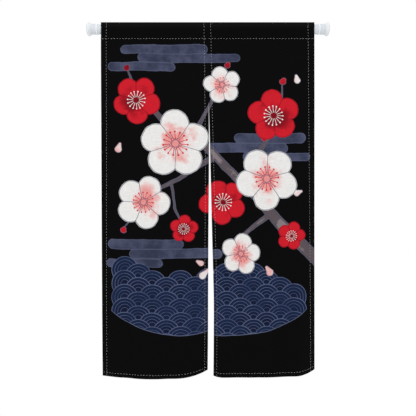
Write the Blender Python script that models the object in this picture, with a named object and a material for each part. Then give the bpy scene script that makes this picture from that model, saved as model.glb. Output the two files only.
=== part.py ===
"""A noren: a split doorway curtain of two joined panels, hung by its rod pocket on a white tension rod.

Metres, +Z up. The rod runs along X. The origin is the middle of the left foot's end face, and the
printed side of the cloth faces -Y. Each object made here is one piece of the real thing.
"""

import math

import bmesh
import bpy
from mathutils import Vector

MM = 0.001

# The tension rod, end face to end face, and its two telescoping tubes
ROD_LENGTH = 976 * MM
OUTER_TUBE_RADIUS = 15.0 * MM
INNER_TUBE_RADIUS = 13.5 * MM
TUBE_WALL = 1.2 * MM
OUTER_TUBE_REACH = 610 * MM
TUBE_OVERLAP = 160 * MM
CLEARANCE = 0.3 * MM
ROUND_STEPS = 32

# The rubber foot, measured from its end face along the rod
FOOT_LENGTH = 18 * MM
FOOT_BELLY = 8.5 * MM
FOOT_FACE_RADIUS = 18 * MM
FOOT_RADIUS = 26.5 * MM
FOOT_NECK_RADIUS = 20.4 * MM
STEM_RADIUS = 9 * MM
STEM_LENGTH = 8 * MM

# The plastic cap that the tube is pushed into: body, rounded bead, then collar with a domed end
CAP_START = FOOT_LENGTH + CLEARANCE
CAP_END = 54.8 * MM
CAP_WEB = 3.5 * MM
BODY_RADIUS = 20.5 * MM
BEAD_START = 37.3 * MM
BEAD_END = 43.5 * MM
BEAD_RADIUS = 21.4 * MM
GROOVE_DEPTH = 1.3 * MM
COLLAR_RADIUS = 19.5 * MM
DOME_LENGTH = 6.5 * MM
DOME_DROP = 2.9 * MM
EDGE_ROUND = 0.9 * MM

# The cloth, as it hangs
CLOTH_LENGTH = 1430 * MM
CREASE_HEIGHT = 27.2 * MM
POCKET_DEPTH = 64.8 * MM
SPLIT_START = 313 * MM
SHEET = 1.0 * MM
HEM_SHEET = 1.8 * MM
OUTER_HEM = 23 * MM
INNER_HEM = 15.5 * MM
BOTTOM_HEM = 14 * MM
HEM_STEP = 1.5 * MM
SEAM_GAP = 0.3 * MM
SEAM_BITE = 2.5 * MM
CREASE_ROUND = 2.2 * MM

# How the folds grow down the cloth, from nothing at the pocket to their full size at the hem
FOLD_GROWTH = 1.7
LIFT_GROWTH = 2.2
SEAM_HOLD = 0.35
NOMINAL_WIDTH = 430 * MM

# The grid that each panel is built on
COLUMNS_BETWEEN_HEMS = 15
ROWS_BELOW_SPLIT = 15
ROWS_ABOVE_SPLIT = 4
ARC_STEPS = 3

# The four upright edges, in millimetres: how far below the top crease, where the left panel starts,
# where it ends at the seam, how wide the split is there, and where the right panel ends.
EDGE_COLUMNS = ("drop", "left_edge", "seam", "split", "right_edge")
EDGES = (
    (0, 56.1, 484.2, 0.0, 915.6),
    (130, 56.5, 488.9, 0.0, 915.8),
    (313, 57.4, 490.7, 0.0, 916.3),
    (450, 58.2, 491.4, 3.9, 916.6),
    (590, 58.8, 491.4, 7.5, 917.1),
    (880, 59.3, 489.0, 17.0, 918.4),
    (1120, 60.1, 487.9, 24.3, 920.3),
    (1290, 60.9, 487.4, 24.6, 921.7),
    (1430, 61.9, 486.1, 24.8, 922.9),
)

# The hem of each panel, in millimetres: the share of the width from its left edge, how far it lies
# behind the rod (minus is in front), and how far the side stitching draws it up.
HEM_COLUMNS = ("across", "back", "lift")
LEFT_HEM = (
    (0.00, 8, 2.7),
    (0.10, 2, 0.2),
    (0.22, -9, 0.1),
    (0.36, -17, -1.9),
    (0.50, -20, -1.7),
    (0.62, -16, -2.3),
    (0.74, -11, -1.9),
    (0.84, -3, 2.1),
    (0.93, 12, 9.2),
    (1.00, 28, 18.6),
)
RIGHT_HEM = (
    (0.00, 10, 1.3),
    (0.04, -1, 0.0),
    (0.10, -8, 0.1),
    (0.22, -10, 0.8),
    (0.36, -3, -1.2),
    (0.50, 4, -3.3),
    (0.62, 3, -2.1),
    (0.74, -4, 2.9),
    (0.84, -5, 6.2),
    (0.93, 9, 12.8),
    (1.00, 28, 20.8),
)


def clear_scene():
    for old in list(bpy.data.objects):
        bpy.data.objects.remove(old, do_unlink=True)


def material(name, colour, roughness, metallic=0.0):
    """A plain Principled material."""
    made = bpy.data.materials.new(name)
    made.use_nodes = True
    shader = made.node_tree.nodes["Principled BSDF"]
    shader.inputs["Base Color"].default_value = (*colour, 1.0)
    shader.inputs["Roughness"].default_value = roughness
    shader.inputs["Metallic"].default_value = metallic
    return made


def finished(name, mesh, finish, smooth_angle):
    """The closed mesh as a named object, facing out and shaded smooth."""
    bmesh.ops.recalc_face_normals(mesh, faces=mesh.faces)
    data = bpy.data.meshes.new(name)
    mesh.to_mesh(data)
    mesh.free()
    data.materials.append(finish)
    data.shade_smooth()
    data.set_sharp_from_angle(angle=math.radians(smooth_angle))
    made = bpy.data.objects.new(name, data)
    bpy.context.scene.collection.objects.link(made)
    return made


def read_curve(rows, column, at):
    """A smooth curve through one column of a table, read at a place along its first column."""
    last = len(rows) - 1
    at = min(max(at, rows[0][0]), rows[last][0])
    k = next(i for i in range(last) if at <= rows[i + 1][0])

    def slope(i):
        low, high = rows[max(i - 1, 0)], rows[min(i + 1, last)]
        return (high[column] - low[column]) / (high[0] - low[0])

    a, b = rows[k], rows[k + 1]
    span = b[0] - a[0]
    t = (at - a[0]) / span
    rise = t * t * (3 - 2 * t)
    leave = t * (1 - t) ** 2 * span * slope(k)
    arrive = t * t * (t - 1) * span * slope(k + 1)
    return a[column] + (b[column] - a[column]) * rise + leave + arrive


def smooth_step(t):
    t = min(max(t, 0.0), 1.0)
    return t * t * (3 - 2 * t)


def edge(column, drop):
    """A column of the edge table, in metres, at a drop in metres."""
    return read_curve(EDGES, EDGE_COLUMNS.index(column), drop / MM) * MM


def split_width(drop):
    """Width of the split between the panels; above its start they only keep the seam's gap."""
    if drop <= SPLIT_START:
        return SEAM_GAP
    below = [row for row in EDGES if row[0] * MM >= SPLIT_START]
    return SEAM_GAP + read_curve(below, EDGE_COLUMNS.index("split"), drop / MM) * MM


def panel_sides(side, drop):
    """X of the panel's left and right edges."""
    seam = edge("seam", drop)
    if side == "left":
        return edge("left_edge", drop), seam
    return seam + split_width(drop), edge("right_edge", drop)


def from_seam(side, across):
    """Share of the width between a place and the panel's inner edge."""
    return 1 - across if side == "left" else across


def growth(side, across, drop):
    """How far the folds have opened; along the sewn seam they start only below it."""
    held = smooth_step(1 - from_seam(side, across) / SEAM_HOLD)
    start = POCKET_DEPTH + (SPLIT_START - POCKET_DEPTH) * held
    return min(max((drop - start) / (CLOTH_LENGTH - start), 0.0), 1.0)


def hanging_point(side, across, drop):
    """Middle of the sheet below the pocket."""
    hem = LEFT_HEM if side == "left" else RIGHT_HEM
    left, right = panel_sides(side, drop)
    opened = growth(side, across, drop)
    back = read_curve(hem, HEM_COLUMNS.index("back"), across) * MM
    lift = read_curve(hem, HEM_COLUMNS.index("lift"), across) * MM
    return Vector(
        (
            left + (right - left) * across,
            back * opened**FOLD_GROWTH,
            CREASE_HEIGHT - drop + lift * opened**LIFT_GROWTH,
        )
    )


def hanging_normal(side, across, drop):
    """Direction from the printed face to the back of the sheet."""
    step = 0.5 * MM
    share = step / NOMINAL_WIDTH
    low, high = max(across - share, 0.0), min(across + share, 1.0)
    along_x = hanging_point(side, high, drop) - hanging_point(side, low, drop)
    top, bottom = max(drop - step, POCKET_DEPTH), min(drop + step, CLOTH_LENGTH)
    along_z = hanging_point(side, across, top) - hanging_point(side, across, bottom)
    return along_z.cross(along_x).normalized()


def back_thickness(side, across, drop):
    """From the middle of the sheet to its back: more where the hems are turned over."""
    inner = from_seam(side, across) * NOMINAL_WIDTH
    outer = (1 - from_seam(side, across)) * NOMINAL_WIDTH
    slack = 0.1 * MM
    in_hem = (
        inner <= INNER_HEM + slack
        or outer <= OUTER_HEM + slack
        or CLOTH_LENGTH - drop <= BOTTOM_HEM + slack
    )
    return HEM_SHEET - SHEET / 2 if in_hem else SHEET / 2


def pocket_path():
    """(y, z) of the sheet's middle round the pocket, from above the seam in front, over the pressed
    crease, and down the back: straight from the seam to the tube, round it, and on to the crease."""
    radius = OUTER_TUBE_RADIUS + CLEARANCE + SHEET / 2
    lowest = POCKET_DEPTH - CREASE_HEIGHT
    crease_angle = math.asin(radius / CREASE_HEIGHT)
    peak = CREASE_HEIGHT - SHEET / 2 / math.sin(crease_angle) + CREASE_ROUND / 4
    leave = math.acos(radius / peak)
    arrive = math.pi - math.acos(radius / lowest)
    front = []
    for i in range(ARC_STEPS + 1):
        angle = arrive + (leave - arrive) * i / ARC_STEPS
        front.append((-radius * math.sin(angle), radius * math.cos(angle)))
    touch = Vector(front[-1])
    up = (Vector((0, peak)) - touch).normalized()
    shoulder = Vector((0, peak)) - up * CREASE_ROUND
    front.append((shoulder.x, shoulder.y))
    crown = (0.0, peak - CREASE_ROUND / 4)
    return front + [crown] + [(-y, z) for y, z in reversed(front)]


def offset_path(points, before, after, by):
    """The path moved outwards by a distance, where outwards is to the left of its direction."""
    moved = []
    whole = [before, *points, after]
    for i in range(1, len(whole) - 1):
        here = Vector(whole[i])
        into = (here - Vector(whole[i - 1])).normalized()
        out = (Vector(whole[i + 1]) - here).normalized()
        bisector = Vector((-into.y - out.y, into.x + out.x)).normalized()
        stretch = max(bisector.dot(Vector((-into.y, into.x))), 0.5)
        moved.append(here + bisector * by / stretch)
    return moved


def column_shares(side):
    """Places across a panel: closer together at the edges of its hems."""
    first, last = (OUTER_HEM, INNER_HEM) if side == "left" else (INNER_HEM, OUTER_HEM)
    start = (first + HEM_STEP) / NOMINAL_WIDTH
    end = 1 - (last + HEM_STEP) / NOMINAL_WIDTH
    shares = [0.0, first / NOMINAL_WIDTH / 2, first / NOMINAL_WIDTH]
    for i in range(COLUMNS_BETWEEN_HEMS + 1):
        shares.append(start + (end - start) * i / COLUMNS_BETWEEN_HEMS)
    return shares + [1 - last / NOMINAL_WIDTH, 1 - last / NOMINAL_WIDTH / 2, 1.0]


def row_drops():
    """Heights of the rows below the pocket, from the hem up to its seam."""
    top_of_hem = CLOTH_LENGTH - BOTTOM_HEM - HEM_STEP
    drops = [CLOTH_LENGTH, CLOTH_LENGTH - BOTTOM_HEM / 2, CLOTH_LENGTH - BOTTOM_HEM]
    for i in range(ROWS_BELOW_SPLIT):
        drops.append(top_of_hem + (SPLIT_START - top_of_hem) * i / ROWS_BELOW_SPLIT)
    bite = POCKET_DEPTH + SEAM_BITE
    for i in range(ROWS_ABOVE_SPLIT):
        drops.append(SPLIT_START + (bite - SPLIT_START) * i / ROWS_ABOVE_SPLIT)
    return drops + [bite, POCKET_DEPTH]


def panel_column(mesh, side, across, drops):
    """Face and back vertices of one upright strip, from the hem, over the rod, to the flap's end."""
    face, back = [], []
    for drop in drops:
        middle = hanging_point(side, across, drop)
        normal = hanging_normal(side, across, drop)
        face.append(mesh.verts.new(middle - normal * SHEET / 2))
        back.append(mesh.verts.new(middle + normal * back_thickness(side, across, drop)))
    seam = (0.0, CREASE_HEIGHT - POCKET_DEPTH)
    path = pocket_path()
    outside = offset_path(path, seam, seam, SHEET / 2)
    inside = offset_path(path, seam, seam, -SHEET / 2)
    for rows, points in ((face, outside), (back, inside)):
        for y, z in points:
            left, right = panel_sides(side, CREASE_HEIGHT - min(z, CREASE_HEIGHT))
            rows.append(mesh.verts.new((left + (right - left) * across, y, z)))
    bite = drops.index(POCKET_DEPTH) - 1
    face.append(back[bite])
    back.append(back[bite + 1])
    return face, back


def make_panel(side, cloth):
    """One panel of cloth: hemmed on all sides, its top folded over the rod and sewn down behind."""
    mesh = bmesh.new()
    drops = row_drops()
    bite = drops.index(POCKET_DEPTH) - 1
    columns = [panel_column(mesh, side, share, drops) for share in column_shares(side)]
    rows = len(columns[0][0])
    for (face, back), (next_face, next_back) in zip(columns, columns[1:]):
        for j in range(rows - 1):
            mesh.faces.new((face[j], next_face[j], next_face[j + 1], face[j + 1]))
            if j != bite:
                mesh.faces.new((back[j], back[j + 1], next_back[j + 1], next_back[j]))
        mesh.faces.new((face[0], back[0], next_back[0], next_face[0]))
    for face, back in (columns[0], columns[-1]):
        for j in range(rows - 1):
            mesh.faces.new((face[j], face[j + 1], back[j + 1], back[j]))
    return finished(f"panel_{side}", mesh, cloth, 40)


def turned(name, profile, finish, closed):
    """A solid turned round the rod's axis from (x, radius) points; open profiles end on the axis."""
    mesh = bmesh.new()
    points = [mesh.verts.new((x, 0.0, radius)) for x, radius in profile]
    ends = list(zip(points, points[1:] + (points[:1] if closed else [])))
    edges = [mesh.edges.new(pair) for pair in ends]
    bmesh.ops.spin(
        mesh,
        geom=points + edges,
        cent=(0, 0, 0),
        axis=(1, 0, 0),
        angle=math.tau,
        steps=ROUND_STEPS,
        use_merge=True,
    )
    bmesh.ops.remove_doubles(mesh, verts=mesh.verts, dist=0.001 * MM)
    return finished(name, mesh, finish, 35)


def from_end(side, profile):
    """A profile measured from a foot's end face, placed at that end of the rod."""
    if side == "left":
        return profile
    return [(ROD_LENGTH - x, radius) for x, radius in profile]


def make_foot(side, rubber):
    """The flared rubber pad that presses on the side of the doorway, with its stem."""
    rim = FOOT_RADIUS - FOOT_FACE_RADIUS
    profile = [(0.0, 0.0), (0.0, FOOT_FACE_RADIUS)]
    for degrees in (25, 50, 75):
        turn = math.radians(degrees)
        out = FOOT_FACE_RADIUS + rim * math.sin(turn)
        profile.append((FOOT_BELLY * (1 - math.cos(turn)), out))
    flare = FOOT_RADIUS - FOOT_NECK_RADIUS
    for share in (0.0, 0.25, 0.5, 0.75, 1.0):
        along = FOOT_BELLY + (FOOT_LENGTH - FOOT_BELLY) * share
        profile.append((along, FOOT_RADIUS - flare * smooth_step(share * 0.8 + 0.2 * share**2)))
    stem_end = FOOT_LENGTH + STEM_LENGTH
    profile += [(FOOT_LENGTH, STEM_RADIUS), (stem_end, STEM_RADIUS), (stem_end, 0.0)]
    return turned(f"foot_{side}", from_end(side, profile), rubber, closed=False)


def make_cap(side, tube_radius, plastic):
    """The cap that holds the foot's stem at one side and the tube at the other."""
    stem_hole = STEM_RADIUS + CLEARANCE
    stem_bottom = CAP_START + STEM_LENGTH
    tube_hole = tube_radius + CLEARANCE
    bead_middle = (BEAD_START + BEAD_END) / 2
    groove = BODY_RADIUS - GROOVE_DEPTH
    profile = [
        (stem_bottom, 0.0),
        (stem_bottom, stem_hole),
        (CAP_START, stem_hole),
        (CAP_START, BODY_RADIUS - EDGE_ROUND),
        (CAP_START + EDGE_ROUND, BODY_RADIUS),
        (BEAD_START - EDGE_ROUND, BODY_RADIUS),
        (BEAD_START, groove),
    ]
    for share in (-0.8, -0.4, 0.4, 0.8):
        along = bead_middle + share * (BEAD_END - BEAD_START) / 2
        profile.append((along, BEAD_RADIUS - (BEAD_RADIUS - groove) * share**4))
    profile += [
        (BEAD_END, COLLAR_RADIUS - GROOVE_DEPTH),
        (BEAD_END + EDGE_ROUND, COLLAR_RADIUS),
    ]
    for degrees in (90, 60, 30, 0):
        turn = math.radians(degrees)
        along = CAP_END - DOME_LENGTH * (1 - math.cos(turn))
        profile.append((along, COLLAR_RADIUS - DOME_DROP * (1 - math.sin(turn))))
    profile += [
        (CAP_END, tube_hole),
        (stem_bottom + CAP_WEB, tube_hole),
        (stem_bottom + CAP_WEB, 0.0),
    ]
    return turned(f"cap_{side}", from_end(side, profile), plastic, closed=False)


def make_tube(name, start, end, radius, metal):
    """A thin-walled tube between two places along the rod."""
    inside = radius - TUBE_WALL
    profile = [(start, inside), (start, radius), (end, radius), (end, inside)]
    return turned(name, profile, metal, closed=True)


def make_rod(metal, plastic, rubber):
    """The telescoping tubes, with a cap and a foot at each end."""
    seat = CAP_START + STEM_LENGTH + CAP_WEB + CLEARANCE
    pieces = [
        make_tube("rod_outer_tube", seat, OUTER_TUBE_REACH, OUTER_TUBE_RADIUS, metal),
        make_tube(
            "rod_inner_tube",
            OUTER_TUBE_REACH - TUBE_OVERLAP,
            ROD_LENGTH - seat,
            INNER_TUBE_RADIUS,
            metal,
        ),
    ]
    for side, radius in (("left", OUTER_TUBE_RADIUS), ("right", INNER_TUBE_RADIUS)):
        pieces.append(make_cap(side, radius, plastic))
        pieces.append(make_foot(side, rubber))
    return pieces


def main():
    clear_scene()
    cloth = material("black_cloth", (0.012, 0.012, 0.014), 0.9)
    metal = material("white_enamel", (0.86, 0.87, 0.89), 0.3)
    plastic = material("white_plastic", (0.84, 0.86, 0.89), 0.35)
    rubber = material("pale_rubber", (0.80, 0.82, 0.86), 0.55)
    pieces = make_rod(metal, plastic, rubber)
    for side in ("left", "right"):
        pieces.append(make_panel(side, cloth))
    noren = bpy.data.objects.new("noren", None)
    bpy.context.scene.collection.objects.link(noren)
    for piece in pieces:
        piece.parent = noren


main()
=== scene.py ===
"""Dresses a noren: printed cloth, stitching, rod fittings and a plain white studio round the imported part.

Metres, +Z up. The rod runs along X and the printed side of the cloth faces -Y.
"""

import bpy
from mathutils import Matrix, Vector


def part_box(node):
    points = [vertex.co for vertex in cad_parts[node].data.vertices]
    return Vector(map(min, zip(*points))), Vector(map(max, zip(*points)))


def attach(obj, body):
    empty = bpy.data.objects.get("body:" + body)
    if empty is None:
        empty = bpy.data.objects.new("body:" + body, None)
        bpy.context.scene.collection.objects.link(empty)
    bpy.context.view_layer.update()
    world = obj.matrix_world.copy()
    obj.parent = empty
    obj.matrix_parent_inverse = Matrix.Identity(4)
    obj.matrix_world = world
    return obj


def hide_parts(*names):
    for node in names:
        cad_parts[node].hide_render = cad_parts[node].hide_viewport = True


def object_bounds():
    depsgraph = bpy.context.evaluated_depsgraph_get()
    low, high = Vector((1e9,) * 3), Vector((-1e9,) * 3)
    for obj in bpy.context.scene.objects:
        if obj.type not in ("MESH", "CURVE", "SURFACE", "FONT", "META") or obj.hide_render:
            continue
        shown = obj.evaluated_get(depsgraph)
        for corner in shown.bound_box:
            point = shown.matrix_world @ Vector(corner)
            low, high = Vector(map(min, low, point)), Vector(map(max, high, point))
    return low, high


bl_info = {
    "name": "Noren on a tension rod",
    "version": (1, 0, 0),
    "blender": (4, 5, 0),
    "location": "3D View > Sidebar > Noren",
    "description": "Builds a printed split curtain, its stitching, its rod fittings and a studio",
    "category": "Object",
}

import math

import bpy
import numpy as np
from bpy.props import FloatProperty, FloatVectorProperty, IntProperty, PointerProperty
from bpy.types import Operator, Panel, PropertyGroup
from mathutils import Vector

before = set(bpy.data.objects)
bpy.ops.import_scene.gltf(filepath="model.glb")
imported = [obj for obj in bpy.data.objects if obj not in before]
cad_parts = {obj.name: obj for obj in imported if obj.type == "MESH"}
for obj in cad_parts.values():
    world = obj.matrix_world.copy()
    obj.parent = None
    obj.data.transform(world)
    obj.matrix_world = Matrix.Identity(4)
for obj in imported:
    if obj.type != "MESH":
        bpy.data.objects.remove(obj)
CAD_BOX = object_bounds()

MM = 0.001
SIDES = ("left", "right")
BODY = "root"
TUBES = ("rod_outer_tube", "rod_inner_tube")
SEED = 11

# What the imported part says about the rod
ROD_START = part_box("foot_left")[0].x
ROD_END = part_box("foot_right")[1].x
TUBE_RADIUS = (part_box("rod_outer_tube")[1].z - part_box("rod_outer_tube")[0].z) / 2
INNER_TUBE_RADIUS = (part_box("rod_inner_tube")[1].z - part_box("rod_inner_tube")[0].z) / 2
ROD_MIDDLE = (ROD_START + ROD_END) / 2

# The cloth as it hangs, in metres
CLOTH_LENGTH = 1433.2 * MM
CREASE_HEIGHT = 28.6 * MM
POCKET_DEPTH = 66.2 * MM
SPLIT_START = 314 * MM
PANEL_WIDTH = 430 * MM
SEAM_OVERLAP = 0.15 * MM
TUBE_CLEARANCE = 0.8 * MM
POCKET_DRAW_IN = 4.7 * MM
FLAP_BELOW_SEAM = 5 * MM
FLAP_BEHIND = 0.95 * MM
OUTER_HEM = 23 * MM
INNER_HEM = 15.5 * MM
BOTTOM_HEM = 19.5 * MM
HEM_STEP = 0.8 * MM

# The rod's fittings, in metres
TUBE_WALL = 1.2 * MM
TUBE_LIP = 0.4 * MM
CAP_BEAD = (37.3 * MM, 43.5 * MM)
COLLAR_IN_POCKET = 2.7 * MM
MOULD_LINE = 0.08 * MM
MOULD_LINE_WIDTH = math.radians(2.2)
SHARP_ANGLE = math.radians(38)

# How the folds grow down the cloth
FOLD_GROWTH = 1.7
LIFT_GROWTH = 2.2
SEAM_HOLD = 0.35

# The upright edges, in millimetres: drop below the crease, left edge, seam, split, right edge
EDGE_COLUMNS = ("drop", "left_edge", "seam", "split", "right_edge")
EDGES = (
    (0, 55.0, 484.2, 0.0, 918.1),
    (130, 55.0, 488.9, 0.0, 918.2),
    (314, 55.8, 490.7, 0.0, 918.8),
    (450, 56.4, 491.9, 2.9, 919.1),
    (590, 57.0, 492.1, 6.1, 919.6),
    (880, 57.9, 489.8, 15.4, 921.0),
    (1120, 58.6, 488.7, 22.7, 922.7),
    (1290, 59.4, 488.2, 23.0, 924.1),
    (1433, 60.4, 486.9, 23.2, 925.2),
)

# The hems, in millimetres: share of the width, distance behind the rod, how far they are drawn up
HEM_COLUMNS = ("across", "back", "lift")
HEMS = {
    "left": (
        (0.00, 8, 2.7),
        (0.10, 2, 0.2),
        (0.22, -9, 0.1),
        (0.36, -17, -1.9),
        (0.50, -20, -1.7),
        (0.62, -16, -2.3),
        (0.74, -11, -1.9),
        (0.84, -3, 2.1),
        (0.93, 12, 9.2),
        (1.00, 28, 18.6),
    ),
    "right": (
        (0.00, 10, 1.3),
        (0.04, -1, 0.0),
        (0.10, -8, 0.1),
        (0.22, -10, 0.8),
        (0.36, -3, -1.2),
        (0.50, 4, -3.3),
        (0.62, 3, -2.1),
        (0.74, -4, 2.9),
        (0.84, -5, 6.2),
        (0.93, 9, 12.8),
        (1.00, 28, 20.8),
    ),
}

# Soft creases, in millimetres: where each starts on the cloth (from the panel's left edge, and up
# from the hem), where it ends, how wide it is, and its height, with troughs below nought
CREASES = {
    "left": (
        (64, 0, 78, 520, 26, 1.6),
        (118, 0, 131, 380, 19, -1.2),
        (206, 0, 214, 610, 34, 1.5),
        (268, 0, 262, 330, 20, -1.3),
        (332, 0, 318, 560, 27, 1.8),
        (392, 90, 336, 690, 22, -1.4),
        (428, 1052, 300, 1290, 24, 0.9),
        (420, 980, 250, 1120, 30, -0.8),
        (30, 1330, 150, 1180, 26, 0.6),
    ),
    "right": (
        (34, 0, 30, 430, 16, 1.3),
        (96, 0, 84, 590, 28, -1.5),
        (158, 0, 166, 350, 20, 1.2),
        (226, 0, 240, 640, 33, 1.6),
        (294, 0, 290, 410, 22, -1.4),
        (352, 0, 366, 560, 25, 1.7),
        (2, 1050, 140, 1280, 24, 0.9),
        (8, 985, 190, 1130, 30, -0.8),
        (404, 1330, 300, 1190, 25, 0.6),
    ),
}

# How a crease fades below its start and above it, as shares of its length, and where all creases end
CREASE_FADE_BELOW = 0.18
CREASE_FADE_ABOVE = 0.75
CREASES_BELOW_SEAM = 60 * MM

# Rows of stitches beside the upright edges, in millimetres: drop below the crease, then how far each
# row lies in from its edge
STITCH_COLUMNS = ("drop", "left_outer", "left_inner", "right_inner", "right_outer")
STITCH_ROWS = (
    (0, 21.7, 13.5, 13.7, 25.3),
    (150, 21.6, 14.8, 12.4, 25.0),
    (430, 21.0, 14.9, 13.4, 23.6),
    (900, 19.2, 13.8, 13.7, 21.1),
    (1433, 18.1, 13.3, 13.7, 19.8),
)
HEM_STITCH_UP = {"left": 15.1 * MM, "right": 16.6 * MM}
STITCH_END_CLEAR = 1.5 * MM

# How uneven the sewing is: where a stitch starts, its length as a share, how far it lies off its row
# and how far its ends lean across it
STITCH_START_SPREAD = 0.25 * MM
STITCH_LENGTH_SPREAD = 0.035
STITCH_OFF_SPREAD = 0.12 * MM
STITCH_LEAN_SPREAD = 0.1 * MM

# The puckers beside a row of stitches: how far they reach, and the lengths in millimetres and the
# shares of the ripples that they are made of
PUCKER_REACH = 9 * MM
PUCKER_RIPPLES = ((17, 0.34), (26, 0.3), (43, 0.22), (88, 0.14))

# The grid of the cloth, closer together at its edges, at the hems' folds and round the pocket
COLUMN_SPACING = 6.6 * MM
ROW_SPACING = 4.3 * MM
POCKET_ROW_SPACING = 2.0 * MM
POCKET_ROWS_BELOW_SEAM = 6 * MM
POCKET_ROWS_END_CLEAR = 2.5 * MM
EDGE_ROUNDING = 0.7 * MM
EDGE_THINNEST = 0.3
EDGE_PLACES = np.array((0.0, 0.15, 0.4, 0.7, 1.8)) * MM
FOLD_PLACES = np.array((-1.4, -0.4, 0.4, 1.4)) * MM
LEAST_SPACING = 0.35

# The cloth's section is softened along its length, which lowers the crease a little
SECTION_STEP = 0.4 * MM
SECTION_SOFTNESS = 1.3 * MM
SECTION_REACH = 12
CREASE_LOWERED = 0.6 * MM

# The print, in metres on the flat cloth: x from the seam, y down from the crease.
# Each blossom is its middle, its radius and its turn.
WHITE_BLOSSOMS = (
    (-0.135, -0.500, 0.138, 0.3),
    (0.232, -0.640, 0.128, 1.0),
    (-0.262, -0.735, 0.108, 0.7),
    (0.055, -0.262, 0.076, 0.1),
    (0.118, -0.945, 0.084, 0.5),
)
RED_BLOSSOMS = (
    (0.262, -0.385, 0.104, 0.2),
    (-0.288, -0.322, 0.096, 0.9),
    (0.052, -0.735, 0.092, 1.1),
    (-0.098, -0.842, 0.056, 0.4),
    (0.330, -0.872, 0.058, 0.6),
)

# Each branch is a run of points with the branch's radius at each
BRANCHES = (
    (
        (0.450, -0.985, 0.0270),
        (0.300, -0.840, 0.0235),
        (0.215, -0.742, 0.0200),
        (0.060, -0.590, 0.0165),
        (-0.050, -0.470, 0.0140),
        (-0.190, -0.398, 0.0105),
        (-0.300, -0.270, 0.0068),
        (-0.322, -0.205, 0.0030),
    ),
    (
        (0.160, -0.690, 0.0125),
        (0.208, -0.520, 0.0092),
        (0.292, -0.402, 0.0066),
        (0.300, -0.262, 0.0026),
    ),
    (
        (0.020, -0.550, 0.0115),
        (-0.120, -0.640, 0.0086),
        (-0.222, -0.690, 0.0064),
        (-0.335, -0.832, 0.0026),
    ),
    (
        (0.245, -0.782, 0.0112),
        (0.130, -0.868, 0.0080),
        (0.085, -0.990, 0.0030),
    ),
    (
        (-0.070, -0.478, 0.0090),
        (0.010, -0.330, 0.0062),
        (0.072, -0.195, 0.0024),
    ),
    (
        (-0.150, -0.655, 0.0060),
        (-0.135, -0.760, 0.0046),
        (-0.085, -0.868, 0.0022),
    ),
)

# Each bud is its middle and its radius
BUDS = (
    (0.303, -0.250, 0.0150),
    (-0.326, -0.192, 0.0140),
    (0.078, -0.182, 0.0130),
    (-0.341, -0.846, 0.0135),
    (0.082, -1.004, 0.0130),
    (-0.236, -0.258, 0.0120),
    (0.222, -0.478, 0.0125),
)

# Each bank of mist is a few level strokes: where one starts and ends, its height and its radius
MIST_BANKS = (
    (
        (-0.330, -0.020, -0.118, 0.0190),
        (-0.265, 0.110, -0.153, 0.0180),
        (-0.385, -0.150, -0.188, 0.0175),
    ),
    (
        (0.120, 0.375, -0.478, 0.0200),
        (0.010, 0.300, -0.516, 0.0190),
        (0.150, 0.395, -0.552, 0.0170),
    ),
    (
        (-0.385, -0.120, -0.905, 0.0200),
        (-0.300, 0.020, -0.943, 0.0190),
        (-0.395, -0.200, -0.980, 0.0170),
    ),
)

# Each drifting petal is its middle, its radius and its turn
DRIFTING_PETALS = (
    (-0.020, -1.035, 0.016, 0.8),
    (0.240, -1.020, 0.015, 2.1),
    (-0.360, -0.520, 0.014, 1.3),
    (0.355, -0.700, 0.013, 0.4),
    (-0.030, -0.985, 0.012, 2.6),
    (0.360, -0.245, 0.013, 1.8),
)

# The waves: radius of a scale, the sea's swelling top, its foot, which rises to both sides, how far it
# reaches from the seam, and each ring in a scale as shares of the radius: its place and half its width
WAVE_RADIUS = 0.056
WAVE_TOP = -1.035
WAVE_SWELL = 0.045
WAVE_SWELLS_PER_METRE = 1.55
WAVE_LEAN = -0.10
WAVE_BOTTOM = -1.275
WAVE_BOTTOM_RISE = 0.085
WAVE_REACH = 0.372
WAVE_RINGS = ((0.965, 0.028), (0.74, 0.017), (0.52, 0.015), (0.30, 0.013))

# A plum blossom, as shares of its radius: its petals, where they part, its stamens and its core. Its
# outline is as wide on all of them.
PETALS = 5
PETAL_MIDDLE = 0.565
PETAL_RADIUS = 0.435
PETALS_PART = 0.24
VEINS = 35
STAMENS = 15
STAMEN_TIP = 0.365
STAMEN_END = 0.33
CORE_RADIUS = 0.10
CORE_RING = 0.115
BLOSSOM_LINE = 1.6 * MM

# The studio
PHOTO_WIDTH = 416
METRES_PER_PIXEL = 4.04 * MM
CAMERA_HEIGHT = -722 * MM
SENSOR = 36.0
FLOOR_BELOW_HEM = 0.14
FLOOR_REACH = 30.0


def screen(red, green, blue):
    """A colour given as it shows on a screen, from 0 to 255, in the linear values that shaders use."""
    shares = [value / 255 for value in (red, green, blue)]
    return tuple(s / 12.92 if s <= 0.04045 else ((s + 0.055) / 1.055) ** 2.4 for s in shares)


def colour_prop(name, description, shown):
    return FloatVectorProperty(
        name=name, description=description, subtype="COLOR", size=3, min=0, max=1, default=screen(*shown)
    )


def amount_prop(name, description, default, **kind):
    return FloatProperty(name=name, description=description, min=0, default=default, **kind)


def length_prop(name, description, default):
    return amount_prop(name, description, default, unit="LENGTH", precision=5)


class NorenCloth(PropertyGroup):
    """Sizes of the cloth."""

    thickness: length_prop("Thickness", "Thickness of one layer of cloth", 0.55 * MM)
    hem_layers: length_prop("Hem", "How much thicker the turned hems are", 0.85 * MM)
    thread_pitch: length_prop("Thread pitch", "Distance from one thread of the weave to the next", 0.62 * MM)
    pucker: length_prop("Pucker", "How deeply the stitching puckers the hems", 0.32 * MM)


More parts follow.
